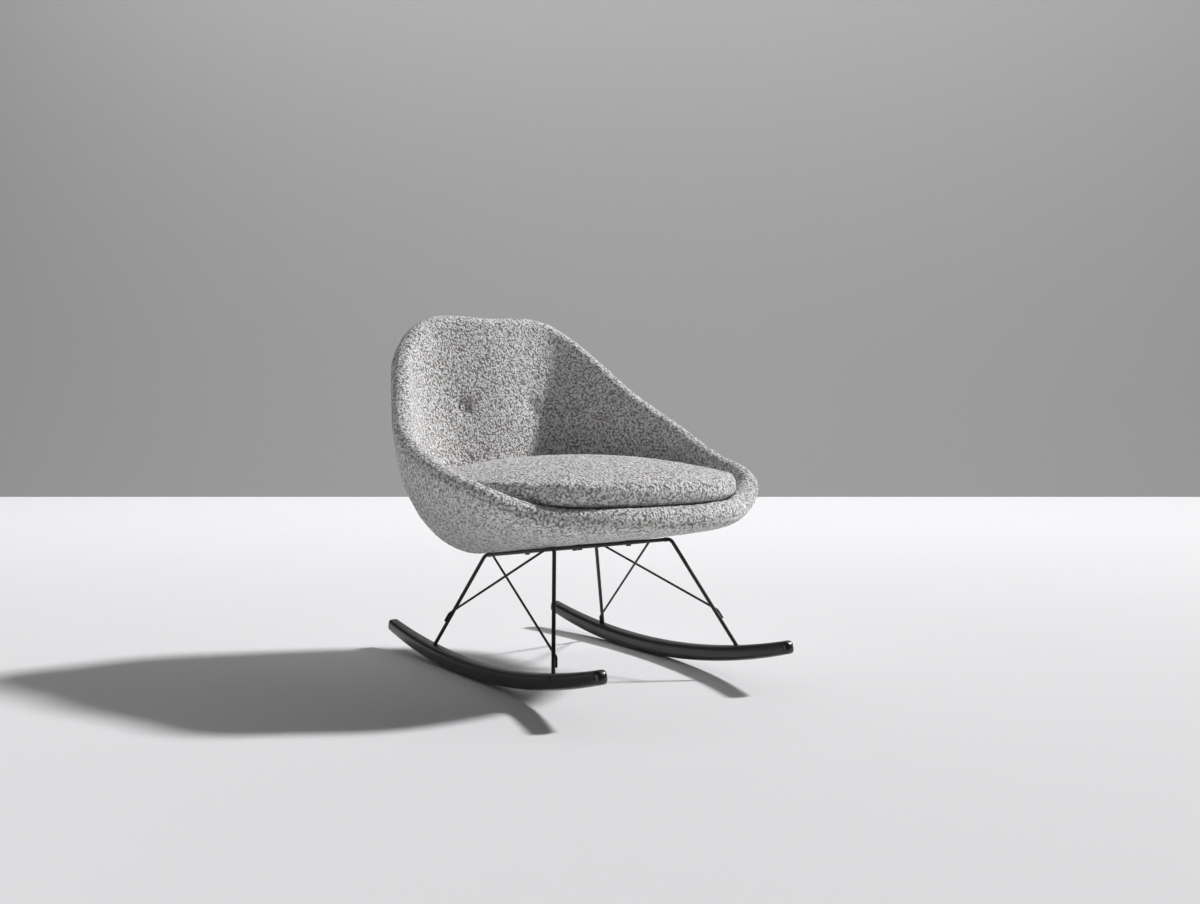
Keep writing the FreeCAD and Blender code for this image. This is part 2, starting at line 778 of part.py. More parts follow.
def all_pieces():
    """Every sub-part by its name."""
    shell, pad, foam, tuft_pieces = tufts(tub_shell(), inner_pad(), outer_foam())
    cover = outer_cover()
    for place in tab_places():
        cover = bore(cover, on_seat(*place, 0), seat_normal, bolt + 2 * hole_gap,
                     seat_under + 2 * cover_thickness)
    for place in board_screw_places():
        shell = bore(shell, on_seat(*place, 0), seat_normal, board_screw + 2 * thread_gap,
                     seat_middle)
    pieces = {"tub_shell": shell, "inner_pad": pad, "outer_foam": foam, "outer_cover": cover,
              "mounting_board": mounting_board(), "leg_screws": leg_screws()}
    pieces.update(tuft_pieces)
    pieces.update(seat_fasteners())
    pieces.update(cushion_pieces())
    pieces.update(tab_pieces())
    for side, name in ((1, "left"), (-1, "right")):
        pieces["side_frame_" + name] = side_frame(side)
        pieces["runner_" + name] = runner(side)
    for name, (along, leg, down, lap) in braces.items():
        pieces[name] = brace(1 if name.startswith("left") else -1, along, leg, down, lap)
    for name, end in (("rear", 1), ("front", -1)):
        pieces["crossbar_" + name] = crossbar(end)
    return pieces


if __name__ == "__main__":
    os.makedirs("parts", exist_ok=True)
    for name, solid in all_pieces().items():
        print(name, solid.isValid(), len(solid.Solids), len(solid.Faces),
              round(solid.Volume / 1000, 2), "cm3")
        solid.exportStep("parts/" + name + ".step")
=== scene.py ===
"""Rocking lounge chair: the dressed model of an upholstered tub on a bent-rod base.

Metres, +Z up. The front faces -Y and the sitter's left is +X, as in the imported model.
"""
import math

import bmesh
import bpy
import numpy as np
from bpy.props import FloatProperty, FloatVectorProperty, IntProperty, PointerProperty
from mathutils import Matrix, Vector, kdtree


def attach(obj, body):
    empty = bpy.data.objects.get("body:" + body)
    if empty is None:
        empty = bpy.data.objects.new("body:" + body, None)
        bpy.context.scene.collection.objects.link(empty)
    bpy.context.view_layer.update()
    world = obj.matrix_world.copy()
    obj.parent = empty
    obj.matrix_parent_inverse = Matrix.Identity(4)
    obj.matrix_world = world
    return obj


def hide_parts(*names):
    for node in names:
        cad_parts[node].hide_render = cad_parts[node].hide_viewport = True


bl_info = {
    "name": "Rocking lounge chair",
    "version": (1, 0, 0),
    "blender": (4, 5, 0),
    "location": "View3D > Sidebar > Lounge Chair",
    "description": "Builds the upholstery, the base, the runners and the stage of a rocking lounge chair",
    "category": "Add Mesh",
}

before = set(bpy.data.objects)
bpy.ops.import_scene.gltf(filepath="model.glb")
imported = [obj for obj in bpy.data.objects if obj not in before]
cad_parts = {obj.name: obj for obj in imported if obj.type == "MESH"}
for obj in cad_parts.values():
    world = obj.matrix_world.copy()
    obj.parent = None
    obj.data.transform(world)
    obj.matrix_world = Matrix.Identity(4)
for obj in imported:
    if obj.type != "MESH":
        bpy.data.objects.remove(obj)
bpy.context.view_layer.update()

CHAIR = "chair"
CUSHION = "seat_cushion"

# Where things are, in metres, as in the solids
ARC_RADIUS = 1.792
FRONT_TIP = math.radians(16.2)
REAR_TIP = math.radians(11.2)
CONTACT_Y = ARC_RADIUS * (math.sin(FRONT_TIP) - math.sin(REAR_TIP)) / 2
SEAT_TILT = math.radians(8.6)
SEAT_NORMAL = np.array([0, math.sin(SEAT_TILT), math.cos(SEAT_TILT)])
SEAT_BACK = np.array([0, math.cos(SEAT_TILT), -math.sin(SEAT_TILT)])
ACROSS = np.array([1.0, 0, 0])
UP = np.array([0, 0, 1.0])
FRAME_CENTRE = np.array([0, CONTACT_Y - 0.088, 0.2627])
ROD = 0.008

# Middle line of the tub's rim on the sitter's left, from the middle of the rods' tops
RIM = np.array([
    (0, -0.327, 0.082), (0.138, -0.307, 0.084), (0.240, -0.249, 0.091), (0.328, -0.178, 0.130),
    (0.355, -0.048, 0.167), (0.355, 0.093, 0.230), (0.301, 0.227, 0.320), (0.236, 0.339, 0.425),
    (0.153, 0.385, 0.480), (0, 0.382, 0.484)])


# Array helpers

def unit(vectors):
    """Each vector divided by its own length."""
    length = np.linalg.norm(vectors, axis=-1, keepdims=True)
    return vectors / np.maximum(length, 1e-12)


def power(values, exponent):
    """The signed power: the sign of a value times its size to the exponent."""
    return np.sign(values) * np.abs(values) ** exponent


def on_seat(x, back, up):
    """A point by its distance across, behind and above the middle of the frame."""
    return FRAME_CENTRE + ACROSS * x + SEAT_BACK * back + SEAT_NORMAL * up


def lattice(cells, seed):
    """A number from 0 to 1 for each whole-numbered cell, from multiplied and mixed integers."""
    mixed = (cells[..., 0] * 374761393 + cells[..., 1] * 668265263 + cells[..., 2] * 2147483647
             + seed * 974634777).astype(np.int64)
    mixed = (mixed ^ (mixed >> 13)) * 1274126177
    mixed = mixed ^ (mixed >> 16)
    return (mixed & 0xFFFFFF) / float(0xFFFFFF)


def lumps(points, size, seed=0):
    """Value noise from -1 to 1: corner values of a grid of cells, blended by 3s^2 - 2s^3."""
    scaled = points / size
    cell = np.floor(scaled).astype(np.int64)
    part = scaled - cell
    part = part * part * (3 - 2 * part)
    total = np.zeros(points.shape[:-1])
    for corner in range(8):
        step = np.array([corner & 1, corner >> 1 & 1, corner >> 2 & 1])
        weight = np.prod(np.where(step == 1, part, 1 - part), axis=-1)
        total += weight * lattice(cell + step, seed)
    return total * 2 - 1


def grid_faces(rows, columns):
    """Quads between neighbouring points of a grid whose last column is joined to its first."""
    start = np.arange(rows - 1)[:, None] * columns
    column = np.arange(columns)[None, :]
    following = (column + 1) % columns
    quads = [start + column, start + following, start + columns + following, start + columns + column]
    return np.stack(quads, axis=-1).reshape(-1, 4)


def surface(name, points):
    """A mesh object through a grid of rings: doubled points are merged and its faces look outward."""
    rows, columns = points.shape[:2]
    faces = grid_faces(rows, columns)
    mesh = bpy.data.meshes.new(name)
    mesh.vertices.add(rows * columns)
    mesh.vertices.foreach_set("co", points.reshape(-1).astype(np.float32))
    mesh.loops.add(faces.size)
    mesh.loops.foreach_set("vertex_index", faces.reshape(-1).astype(np.int32))
    mesh.polygons.add(len(faces))
    mesh.polygons.foreach_set("loop_start", np.arange(0, faces.size, 4, dtype=np.int32))
    mesh.update(calc_edges=True)
    mesh.validate()
    shape = bmesh.new()
    shape.from_mesh(mesh)
    bmesh.ops.remove_doubles(shape, verts=shape.verts, dist=1e-6)
    bmesh.ops.recalc_face_normals(shape, faces=shape.faces)
    shape.to_mesh(mesh)
    shape.free()
    mesh.polygons.foreach_set("use_smooth", np.ones(len(mesh.polygons), bool))
    piece = bpy.data.objects.new(name, mesh)
    bpy.context.scene.collection.objects.link(piece)
    return piece


def points_of(piece):
    """The piece's points as an array."""
    flat = np.empty(len(piece.data.vertices) * 3, np.float32)
    piece.data.vertices.foreach_get("co", flat)
    return flat.reshape(-1, 3).astype(float)


def set_points(piece, points):
    """Give the piece's points new places."""
    piece.data.vertices.foreach_set("co", points.reshape(-1).astype(np.float32))
    piece.data.update()


def normals_of(piece):
    """The piece's point normals as an array."""
    flat = np.empty(len(piece.data.vertices) * 3, np.float32)
    piece.data.vertices.foreach_get("normal", flat)
    return flat.reshape(-1, 3).astype(float)


def joined(name, pieces):
    """One object of several meshes."""
    shape = bmesh.new()
    for piece in pieces:
        shape.from_mesh(piece.data)
        bpy.data.objects.remove(piece)
    mesh = bpy.data.meshes.new(name)
    shape.to_mesh(mesh)
    shape.free()
    mesh.polygons.foreach_set("use_smooth", np.ones(len(mesh.polygons), bool))
    piece = bpy.data.objects.new(name, mesh)
    bpy.context.scene.collection.objects.link(piece)
    return piece


def place_piece(piece, body, slot, material, *nodes):
    """Dress a piece, let it ride on its body and stand for its nodes."""
    piece.data.materials.clear()
    piece.data.materials.append(material)
    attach(piece, body)
    if nodes:
        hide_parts(*nodes)
    return piece


# Shader helpers

class Value:
    """A socket of a shader that can be used in sums: each operator adds its Math node."""

    def __init__(self, finish, socket):
        self.finish = finish
        self.socket = socket

    def math(self, operation, *others):
        """The result of a Math node fed with this value and the others."""
        node = self.finish.node("ShaderNodeMath", {"operation": operation}, self, *others)
        return self.finish.value(node.outputs[0])

    def __add__(self, other):
        return self.math("ADD", other)

    def __sub__(self, other):
        return self.math("SUBTRACT", other)

    def __mul__(self, other):
        return self.math("MULTIPLY", other)

    def __rsub__(self, other):
        return self * -1 + other

    __radd__ = __add__
    __rmul__ = __mul__

    def ramp(self, low, high):
        """0 at low, 1 at high, smooth between them."""
        settings = {"interpolation_type": "SMOOTHSTEP"}
        node = self.finish.node("ShaderNodeMapRange", settings, self, low, high, 0.0, 1.0)
        return self.finish.value(node.outputs[0])


class Finish:
    """A material under construction."""

    def __init__(self, name):
        self.material = bpy.data.materials.new(name)
        self.material.use_nodes = True
        self.tree = self.material.node_tree
        self.shader = self.tree.nodes["Principled BSDF"]
        self.place = self.node("ShaderNodeTexCoord").outputs["Object"]

    def value(self, socket):
        """The socket as a value for sums."""
        return Value(self, socket)

    def node(self, kind, settings=None, *inputs, **named):
        """A node with its settings set first, then its sockets in order or by name."""
        made = self.tree.nodes.new(kind)
        for key, setting in (settings or {}).items():
            setattr(made, key, setting)
        slots = list(zip(made.inputs, inputs))
        slots += [(made.inputs[key.replace("_", " ")], item) for key, item in named.items()]
        for socket, item in slots:
            self.feed(socket, item)
        return made

    def feed(self, socket, item):
        """A link where the item is a socket, and otherwise a plain setting."""
        if isinstance(item, Value):
            item = item.socket
        if isinstance(item, bpy.types.NodeSocket):
            self.tree.links.new(item, socket)
        elif item is not None:
            socket.default_value = item

    def noise(self, scale, detail=2.0, place=None, kind="FBM", roughness=0.5):
        """The value and the colour of a noise pattern."""
        made = self.node("ShaderNodeTexNoise", {"noise_type": kind}, Vector=place or self.place,
                         Scale=scale, Detail=detail, Roughness=roughness)
        return self.value(made.outputs[0]), made.outputs[1]

    def cells(self, scale, place=None, feature="F1"):
        """The distance and the colour of a pattern of cells."""
        made = self.node("ShaderNodeTexVoronoi", {"feature": feature}, Vector=place or self.place,
                         Scale=scale)
        return self.value(made.outputs[0]), made.outputs[1]

    def shifted(self, scale, reach):
        """The place moved by up to reach, by a noise of its own."""
        colour = self.noise(scale)[1]
        middle = self.node("ShaderNodeVectorMath", {"operation": "SUBTRACT"}, colour, (0.5, 0.5, 0.5))
        push = self.node("ShaderNodeVectorMath", {"operation": "SCALE"}, middle.outputs[0], Scale=reach)
        made = self.node("ShaderNodeVectorMath", {"operation": "ADD"}, self.place, push.outputs[0])
        return made.outputs[0]

    def blend(self, share, low, high):
        """A colour between two colours."""
        made = self.node("ShaderNodeMix", {"data_type": "RGBA"})
        self.feed(made.inputs[0], share)
        self.feed(made.inputs[6], low)
        self.feed(made.inputs[7], high)
        return made.outputs[2]

    def bump(self, height, distance, strength=1.0):
        """Give the surface a relief of the height pattern, as deep as the distance."""
        made = self.node("ShaderNodeBump", None, Strength=strength, Distance=distance, Height=height)
        self.feed(self.shader.inputs["Normal"], made.outputs[0])

    def set(self, **settings):
        """Sockets of the surface shader by name."""
        for key, item in settings.items():
            self.feed(self.shader.inputs[key.replace("_", " ")], item)
        return self.material


def rgba(colour, factor=1.0):
    """The colour times a factor, with full alpha."""
    return tuple(part * factor for part in colour[:3]) + (1.0,)


# Finishes

finishes = {}


def boucle_finish(name, light, dark_wool_and_gap_shade):
    """Looped wool: curled loops over gaps coloured darker as painted shade, with flecks, soft sheen and slow
    unevenness.
    """
    made = Finish(name)
    place = made.shifted(150.0, 0.005)
    loops = made.cells(235.0, place, "SMOOTH_F1")[0]
    curls = made.noise(310.0, 2.0, place, "RIDGED_MULTIFRACTAL", 0.6)[0]
    fleck = made.cells(170.0, place)[1]
    fleck_share = made.value(made.node("ShaderNodeSeparateColor", None, fleck).outputs[0])
    height = (1 - loops.ramp(0.15, 0.85)) * 0.62 + curls.ramp(0.15, 1.15) * 0.5
    # Painted shade: the lower a place lies in the height pattern between the loops, the darker its colour,
    # as if shade fell in the gaps. The flecks and the slow unevenness below are random tone.
    shade = height.ramp(0.12, 0.58)
    wool = made.blend(shade, rgba(dark_wool_and_gap_shade), rgba(light))
    darker = fleck_share.ramp(0.72, 0.92)
    wool = made.blend(darker * 0.45, wool, rgba(dark_wool_and_gap_shade, 1.2))
    slow = made.noise(22.0, 2.0)[0].ramp(0.3, 0.8)
    wool = made.blend(slow * 0.10, wool, rgba(dark_wool_and_gap_shade, 1.8))
    made.bump(height, 0.0040, 1.0)
    made.shader.inputs["Sheen Weight"].default_value = 0.25
    made.shader.inputs["Sheen Roughness"].default_value = 0.5
    made.shader.inputs["Specular IOR Level"].default_value = 0.15
    return made.set(Base_Color=wool, Roughness=0.95)


def lacquer_finish(name, colour):
    """Black stain and lacquer over wood: long faint grain, orange peel and fine wear."""
    made = Finish(name)
    stretched = made.node("ShaderNodeMapping", None, made.place).outputs[0]
    stretched.node.inputs["Scale"].default_value = (1.0, 0.05, 1.0)
    grain = made.noise(420.0, 3.0, stretched)[0]
    peel = made.noise(260.0, 1.0)[0]
    dust = made.noise(14.0, 4.0)[0].ramp(0.45, 0.8)
    made.bump(grain * 0.6 + peel * 0.4, 0.00018, 0.5)
    black = made.blend(grain.ramp(0.3, 0.8) * 0.6, rgba(colour), rgba(colour, 2.2))
    made.shader.inputs["Coat Roughness"].default_value = 0.12
    return made.set(Base_Color=black, Roughness=dust * 0.12 + 0.3, Coat_Weight=0.18)


def coated_steel_finish(name, colour):
    """Powder-coated steel: fine orange peel and a slightly uneven satin."""
    made = Finish(name)
    peel = made.noise(900.0, 2.0)[0]
    uneven = made.noise(60.0, 3.0)[0].ramp(0.3, 0.75)
    made.bump(peel, 0.00012, 0.6)
    black = made.blend(uneven, rgba(colour), rgba(colour, 1.8))
    return made.set(Base_Color=black, Roughness=uneven * 0.14 + 0.36)


def plain_finish(name, colour, roughness, metallic=0.0, grain=500.0, depth=0.0002):
    """A plain material with a fine grain of its own."""
    made = Finish(name)
    fine = made.noise(grain, 3.0)[0]
    made.bump(fine, depth, 0.6)
    tone = made.blend(fine.ramp(0.3, 0.7), rgba(colour, 0.85), rgba(colour, 1.1))
    return made.set(Base_Color=tone, Roughness=fine * 0.15 + roughness, Metallic=metallic)


# The tub's surface

def closed_spline(points, samples):
    """Evenly paced samples of the closed cubic through the points, paced by chord length.

    Its second derivatives m solve h0 m0 + 2 (h0 + h1) m1 + h1 m2 = 6 (slope after - slope before).
    """
    step = np.linalg.norm(np.roll(points, -1, 0) - points, axis=1)
    count = len(points)
    before = np.roll(step, 1)
    slope = (np.roll(points, -1, 0) - points) / step[:, None]
    eye = np.eye(count)
    matrix = (np.diag(2 * (before + step)) + np.roll(eye, 1, 1) * step[:, None]
              + np.roll(eye, -1, 1) * before[:, None])
    bend = np.linalg.solve(matrix, 6 * (slope - np.roll(slope, 1, 0)))
    knots = np.concatenate([[0], np.cumsum(step)])
    pace = knots[-1] * np.asarray(samples)
    index = np.clip(np.searchsorted(knots, pace, "right") - 1, 0, count - 1)
    following = (index + 1) % count
    h = step[index][:, None]
    a = ((knots[index + 1] - pace)[:, None]) / h
    b = 1 - a
    return (a * points[index] + b * points[following]
            + ((a ** 3 - a) * bend[index] + (b ** 3 - b) * bend[following]) * h * h / 6)


class Tub:
    """The wall of the tub as a function of the way round it and the place up and over it."""

    base_half = 0.020
    lip_half = 0.026
    side_half = 0.022
    back_half = 0.025
    lumbar = 0.012
    widest = 0.355
    bottom = (0.149, 0.195, 0.064)
    squareness = 2.6

    def __init__(self, around):
        """Stations all round, an even number of them, from the front over the sitter's left."""
        half = around // 2
        share = np.arange(half + 1) / around
        mirror = RIM[1:-1][::-1] * np.array([-1, 1, 1])
        origin = FRAME_CENTRE + UP * ROD / 2
        rim = closed_spline(np.concatenate([RIM, mirror]), share) + origin
        rim[[0, -1], 0] = 0
        self.middle = on_seat(0, self.bottom[2], ROD / 2 + 0.0003 + self.base_half)
        length = np.where(rim[:, 1] < self.middle[1], self.middle[1] - rim[0, 1],
                          rim[-1, 1] - self.middle[1])
        angle = np.arctan2(rim[:, 0] / self.widest, (self.middle[1] - rim[:, 1]) / length)
        self.angle = angle
        base = (self.middle + ACROSS * (self.bottom[0] * power(np.sin(angle), 2 / self.squareness))[:, None]
                - SEAT_BACK * (self.bottom[1] * power(np.cos(angle), 2 / self.squareness))[:, None])
        outward = (rim - base) * np.array([1, 1, 0])
        reach = np.linalg.norm(outward, axis=1, keepdims=True)
        outward = unit(outward)
        along = unit(outward - SEAT_NORMAL * (outward @ SEAT_NORMAL)[:, None])
        lean = np.radians(self.mixed(53.0, 3.5, 12.0))[:, None]
        wall = outward * np.sin(lean) + UP * np.cos(lean)
        lower = base + along * self.mixed(0.34, 0.63, 0.45)[:, None] * reach
        upper = rim - wall * (self.mixed(0.46, 0.53, 0.50) * (rim - base)[:, 2])[:, None]
        self.lean = lean[:, 0]
        self.corners = [base, lower, upper, rim]

    def mixed(self, front, side, back):
        """A value for each direction: squares of sine and cosine blend the side with the two ends."""
        end = np.where(np.cos(self.angle) > 0, front, back)
        return side * np.sin(self.angle) ** 2 + end * np.cos(self.angle) ** 2

    def line(self, t):
        """The middle line of the wall: the cubic with four control points."""
        s = 1 - t
        a, b, c, d = self.corners
        return a * s ** 3 + b * (3 * s * s * t) + c * (3 * s * t * t) + d * t ** 3

    def slope(self, t):
        """Its direction, from the differences of the control points."""
        s = 1 - t
        a, b, c, d = self.corners
        return unit((b - a) * (s * s) + (c - b) * (2 * s * t) + (d - c) * (t * t))

    def square(self, t):
        """The direction square to the wall, towards the sitter: up the wall crossed with round it."""
        line = self.line(t)
        mirror = np.array([-1, 1, 1])
        padded = np.concatenate([line[1:2] * mirror, line, line[-2:-1] * mirror])
        across = unit(np.cross(self.slope(t), padded[2:] - padded[:-2]))
        return np.where(t <= 1e-6, SEAT_NORMAL, across)

    def ring(self, place, below=0.0):
        """Half a ring: 0 to 1 up the inside, 1 to 2 round the rim and 2 to 3 down the outside.

        The place may be one number or one for each station. A point is the middle line plus half of
        the wall's thickness, along the wall's square turned over the rim by the place past 1.
        """
        place = np.broadcast_to(np.asarray(place, float), self.angle.shape)[:, None]
        t = np.where((place > 1) & (place < 2), 1.0, np.minimum(place, 3 - place))
        rim_half = self.mixed(self.lip_half, self.side_half, self.back_half)[:, None]
        distance = self.base_half + (rim_half - self.base_half) * t * t - below
        backness = (np.maximum(0, -np.cos(self.angle)) ** 2)[:, None]
        swell = self.lumbar * backness * np.sin(math.pi * t) ** 2
        distance = distance + np.where(place <= 1, swell, 0)
        turn = math.pi * np.clip(place - 1, 0, 1)
        square = self.square(t) * np.cos(turn) + self.slope(1.0) * np.sin(turn)
        return self.line(t) + square * distance


def whole_rings(halves):
    """Half rings joined to their mirror image."""
    mirror = halves[:, -2:0:-1] * np.array([-1, 1, 1])
    return np.concatenate([halves, mirror], axis=1)


def shrinking_rows(ring, middle, shares):
    """Rings drawn in from one ring to its middle by each share."""
    return np.stack([middle + (ring - middle) * share for share in shares])


# The seam's place under the rim, the lap of the two sheets there, and the dip's depth and width
SEAM_PLACE = 1 + 150 / 180
SEAM_LAP = 0.012
SEAM_DEPTH = 0.0012
SEAM_WIDTH = 0.03


def even_places(tub, start, end, count):
    """Places from start to end that divide a line up the side of the tub evenly by length."""
    fine = np.linspace(start, end, 400)
    side = len(tub.angle) // 3
    line = np.stack([tub.ring(place)[side] for place in fine])
    run = np.concatenate([[0], np.cumsum(np.linalg.norm(np.diff(line, axis=0), axis=1))])
    return np.interp(np.linspace(0, run[-1], count), run, fine)


def seam_dip(places):
    """How far each ring sinks beside the seam: a bell curve of the place."""
    return SEAM_DEPTH * np.exp(-((places - SEAM_PLACE) / SEAM_WIDTH) ** 2)


TUFT_ASIDE = 0.094
TUFT_HEIGHT = 0.372
TUFT_LEAN = math.radians(12.0)
TUFT_DEPTH = 0.0145
TUFT_WIDTH = 0.017


def tuft_points():
    """Where the tufts' lines pass over the middle of the frame, and the direction into the back."""
    into = np.array([0, math.cos(TUFT_LEAN), -math.sin(TUFT_LEAN)])
    return [(FRAME_CENTRE + np.array([x, 0, TUFT_HEIGHT]), into) for x in (TUFT_ASIDE, -TUFT_ASIDE)]


def tufted(points):
    """Pull points of the back in round each tuft.

    The depth falls with the distance r from the tuft's line as 1 / (1 + (r / w)^2)^1.5, and shallow
    creases run out from the middle.
    """
    moved = points.copy()
    for start, into in tuft_points():
        offset = points - start
        along = offset @ into
        radial = offset - along[..., None] * into
        distance = np.linalg.norm(radial, axis=-1)
        turn = np.arctan2(radial[..., 2], radial[..., 0])
        near = (along > 0.1).astype(float)
        depth = TUFT_DEPTH / (1 + (distance / TUFT_WIDTH) ** 2) ** 1.5
        crease = 0.0012 * np.cos(turn * 7 + np.sin(turn * 3)) * np.exp(-((distance - 0.02) / 0.012) ** 2)
        moved = moved + into * ((depth + crease) * near)[..., None]
    return moved


LOOP_HEIGHT = 0.0009


def fuzz(piece, seed, height):
    """Lift the cloth along its normals by two sizes of value noise; a negative height sinks it."""
    points = points_of(piece)
    rise = lumps(points, 0.0075, seed) * height + lumps(points, 0.045, seed + 5) * height * 0.8
    set_points(piece, points + normals_of(piece) * (rise + height)[:, None])


def build_tub(around, rows):
    """The inside with its rolled rim, and the outside, each a closed sheet up to the seam."""
    tub = Tub(around)
    places = even_places(tub, 0.0, SEAM_PLACE + SEAM_LAP, rows)
    halves = np.stack([tub.ring(place, dip) for place, dip in zip(places, seam_dip(places))])
    inside = whole_rings(halves)
    floor = shrinking_rows(inside[0], inside[0].mean(0), [0.0, 0.3, 0.6, 0.85])
    inside = surface("tub_inside", tufted(np.concatenate([floor, inside])))
    fuzz(inside, 3, -LOOP_HEIGHT)
    places = even_places(tub, SEAM_PLACE - SEAM_LAP, 3.0, rows)
    halves = np.stack([tub.ring(place, dip) for place, dip in zip(places, seam_dip(places))])
    outside = whole_rings(halves)
    bottom = shrinking_rows(outside[-1], outside[-1].mean(0), [0.85, 0.6, 0.3, 0.0])
    outside = surface("tub_outside", np.concatenate([outside, bottom]))
    fuzz(outside, 9, -LOOP_HEIGHT)
    return inside, outside


# The cushion

CUSHION_LEVEL = FRAME_CENTRE[2] + ROD / 2 + 0.112
CUSHION_BAND = 0.046
CUSHION_CROWN = 0.038
CUSHION_GAP = 0.0014


def bedded_places(tub, level):
    """The place up the inside where the wall is at that level, by halving, or the lip's crest."""
    low = np.zeros_like(tub.angle)
    high = 1 + (math.pi / 2 - tub.lean) / math.pi
    for _ in range(24):
        middle = (low + high) / 2
        under = tub.ring(middle)[:, 2] < level
        low = np.where(under, middle, low)
        high = np.where(under, high, middle)
    return high


def cushion_rings(tub, inset, band_rows=9, crown_rows=22):
    """Rings of points over the cushion: underside, side band and crowned top.

    The band bulges by a half sine, and the top rises by 1 - (1 - s)^2.2 of the share s to the middle.
    """
    reach = bedded_places(tub, CUSHION_LEVEL)
    under = [tub.ring(reach * share, -CUSHION_GAP - inset) for share in np.linspace(0, 0.94, 12)]
    edge = tub.ring(reach, -CUSHION_GAP)
    centre = np.array([0, FRAME_CENTRE[1], 0])
    outward = unit((edge - centre) * np.array([1, 1, 0]))
    swell = tub.mixed(0.009, 0.0015, 0.0005)[:, None]
    band = []
    for share in np.linspace(0, 1, band_rows):
        row = edge + outward * (swell * math.sin(math.pi * share) ** 0.6 - inset)
        row[:, 2] = CUSHION_LEVEL + inset + share * (CUSHION_BAND - 2 * inset)
        band.append(row)
    ridge = band[-1]
    centre[2] = ridge[0, 2]
    crown = []
    for share in np.linspace(0, 1, crown_rows)[1:]:
        row = ridge + (centre - ridge) * share
        row = row + UP * CUSHION_CROWN * (1 - (1 - share) ** 2.2)
        crown.append(row)
    rings = whole_rings(np.stack(under + band + crown))
    floor = shrinking_rows(rings[0], rings[0].mean(0), [0.0, 0.3, 0.65])
    return np.concatenate([floor, rings]), whole_rings(np.stack([band[0], band[-1]]))


def inflate(piece, seams, cap, pressure=4.0, voxel=0.0055, pinned=0.006, frames=20):
    """Swell a closed shape as cloth under pressure, held at its seams, none moving past the cap."""
    remesh = piece.modifiers.new("even", "REMESH")
    remesh.mode = "VOXEL"
    remesh.voxel_size = voxel
    apply_modifiers(piece)
    start = points_of(piece)
    tree = kdtree.KDTree(len(seams))
    for index, point in enumerate(seams):
        tree.insert(point, index)
    tree.balance()
    distance = np.array([tree.find(point)[2] for point in start])
    pins = piece.vertex_groups.new(name="seams")
    for index in np.nonzero(distance < pinned)[0]:
        pins.add([int(index)], 1.0, "REPLACE")
    cloth = piece.modifiers.new("cloth", "CLOTH")
    cloth.settings.use_pressure = True
    cloth.settings.uniform_pressure_force = pressure
    cloth.settings.effector_weights.gravity = 0
    cloth.settings.vertex_group_mass = "seams"
    cloth.settings.quality = 5
    cloth.collision_settings.use_collision = False
    cloth.point_cache.frame_start = 1
    cloth.point_cache.frame_end = frames
    scene = bpy.context.scene
    for number in range(1, frames + 1):
        scene.frame_set(number)
    apply_modifiers(piece)
    moved = points_of(piece) - start
    length = np.linalg.norm(moved, axis=1, keepdims=True)
    set_points(piece, start + moved * np.minimum(1, cap / np.maximum(length, 1e-9)))
    scene.frame_set(1)
    piece.vertex_groups.clear()
    return piece


def apply_modifiers(piece):
    """Make the evaluated mesh the piece's own and drop the modifiers."""
    graph = bpy.context.evaluated_depsgraph_get()
    mesh = bpy.data.meshes.new_from_object(piece.evaluated_get(graph), depsgraph=graph)
    old = piece.data
    piece.modifiers.clear()
    piece.data = mesh
    bpy.data.meshes.remove(old)
    mesh.polygons.foreach_set("use_smooth", np.ones(len(mesh.polygons), bool))


def build_cushion(around):
    """The loose cushion: a filled form swollen between its seams, then its fabric."""
    tub = Tub(around)
    inset = 0.004
    rings, seams = cushion_rings(tub, inset)
    piece = surface("seat_cushion_cover", rings)
    piece = inflate(piece, seams.reshape(-1, 3), 0.010)
    finer = piece.modifiers.new("finer", "SUBSURF")
    finer.levels = finer.render_levels = 1
    apply_modifiers(piece)
    fuzz(piece, 21, LOOP_HEIGHT)
    return piece


# The base

BEND_RADIUS = 0.014
FRAME_HALF_WIDTH = 0.147
FRAME_HALF_DEPTH = 0.1405
LEG_DEPTH = 0.022
BRACE_RADIUS = 0.0025
BRACE_BEND = 0.009
BRACE_LAP = 0.0066
BRACE_END = 0.020
CROSSBAR_INSET = 0.012
CROSSBAR_REACH = 0.1445
BRACE_BEAD = 0.0021
CROSSBAR_BEAD = 0.0048
RUNNER_ASIDE = 0.226
RUNNER_HALF_HEIGHT = 0.018
RUNNER_HALF_WIDTH = 0.016
RUNNER_SQUARENESS = 3.6
TIP_LENGTH = 0.011
HALF_FLAT = math.radians(1.05)


def rounded_path(corners, radius, steps=10, run=0.02):
    """Points along straight runs joined by tangent arcs of one radius."""
    corners = [np.asarray(corner, float) for corner in corners]
    parts = []
    last = corners[0]
    for before, corner, after in zip(corners, corners[1:], corners[2:]):
        arriving = unit(corner - before)
        leaving = unit(after - corner)
        turn = math.acos(float(np.clip(arriving @ leaving, -1, 1)))
        setback = radius * math.tan(turn / 2)
        first = corner - arriving * setback
        axis = unit(np.cross(arriving, leaving))
        centre = first + np.cross(axis, arriving) * radius
        arm = first - centre
        angles = np.linspace(0, turn, steps)[:, None]
        arc = centre + arm * np.cos(angles) + np.cross(axis, arm) * np.sin(angles)
        count = max(2, int(np.linalg.norm(first - last) / run))
        straight = last + (first - last) * np.linspace(0, 1, count)[:-1, None]
        parts += [straight, arc]
        last = arc[-1]
    count = max(2, int(np.linalg.norm(corners[-1] - last) / run))
    parts.append(last + (corners[-1] - last) * np.linspace(0, 1, count)[1:, None])
    return np.concatenate(parts)


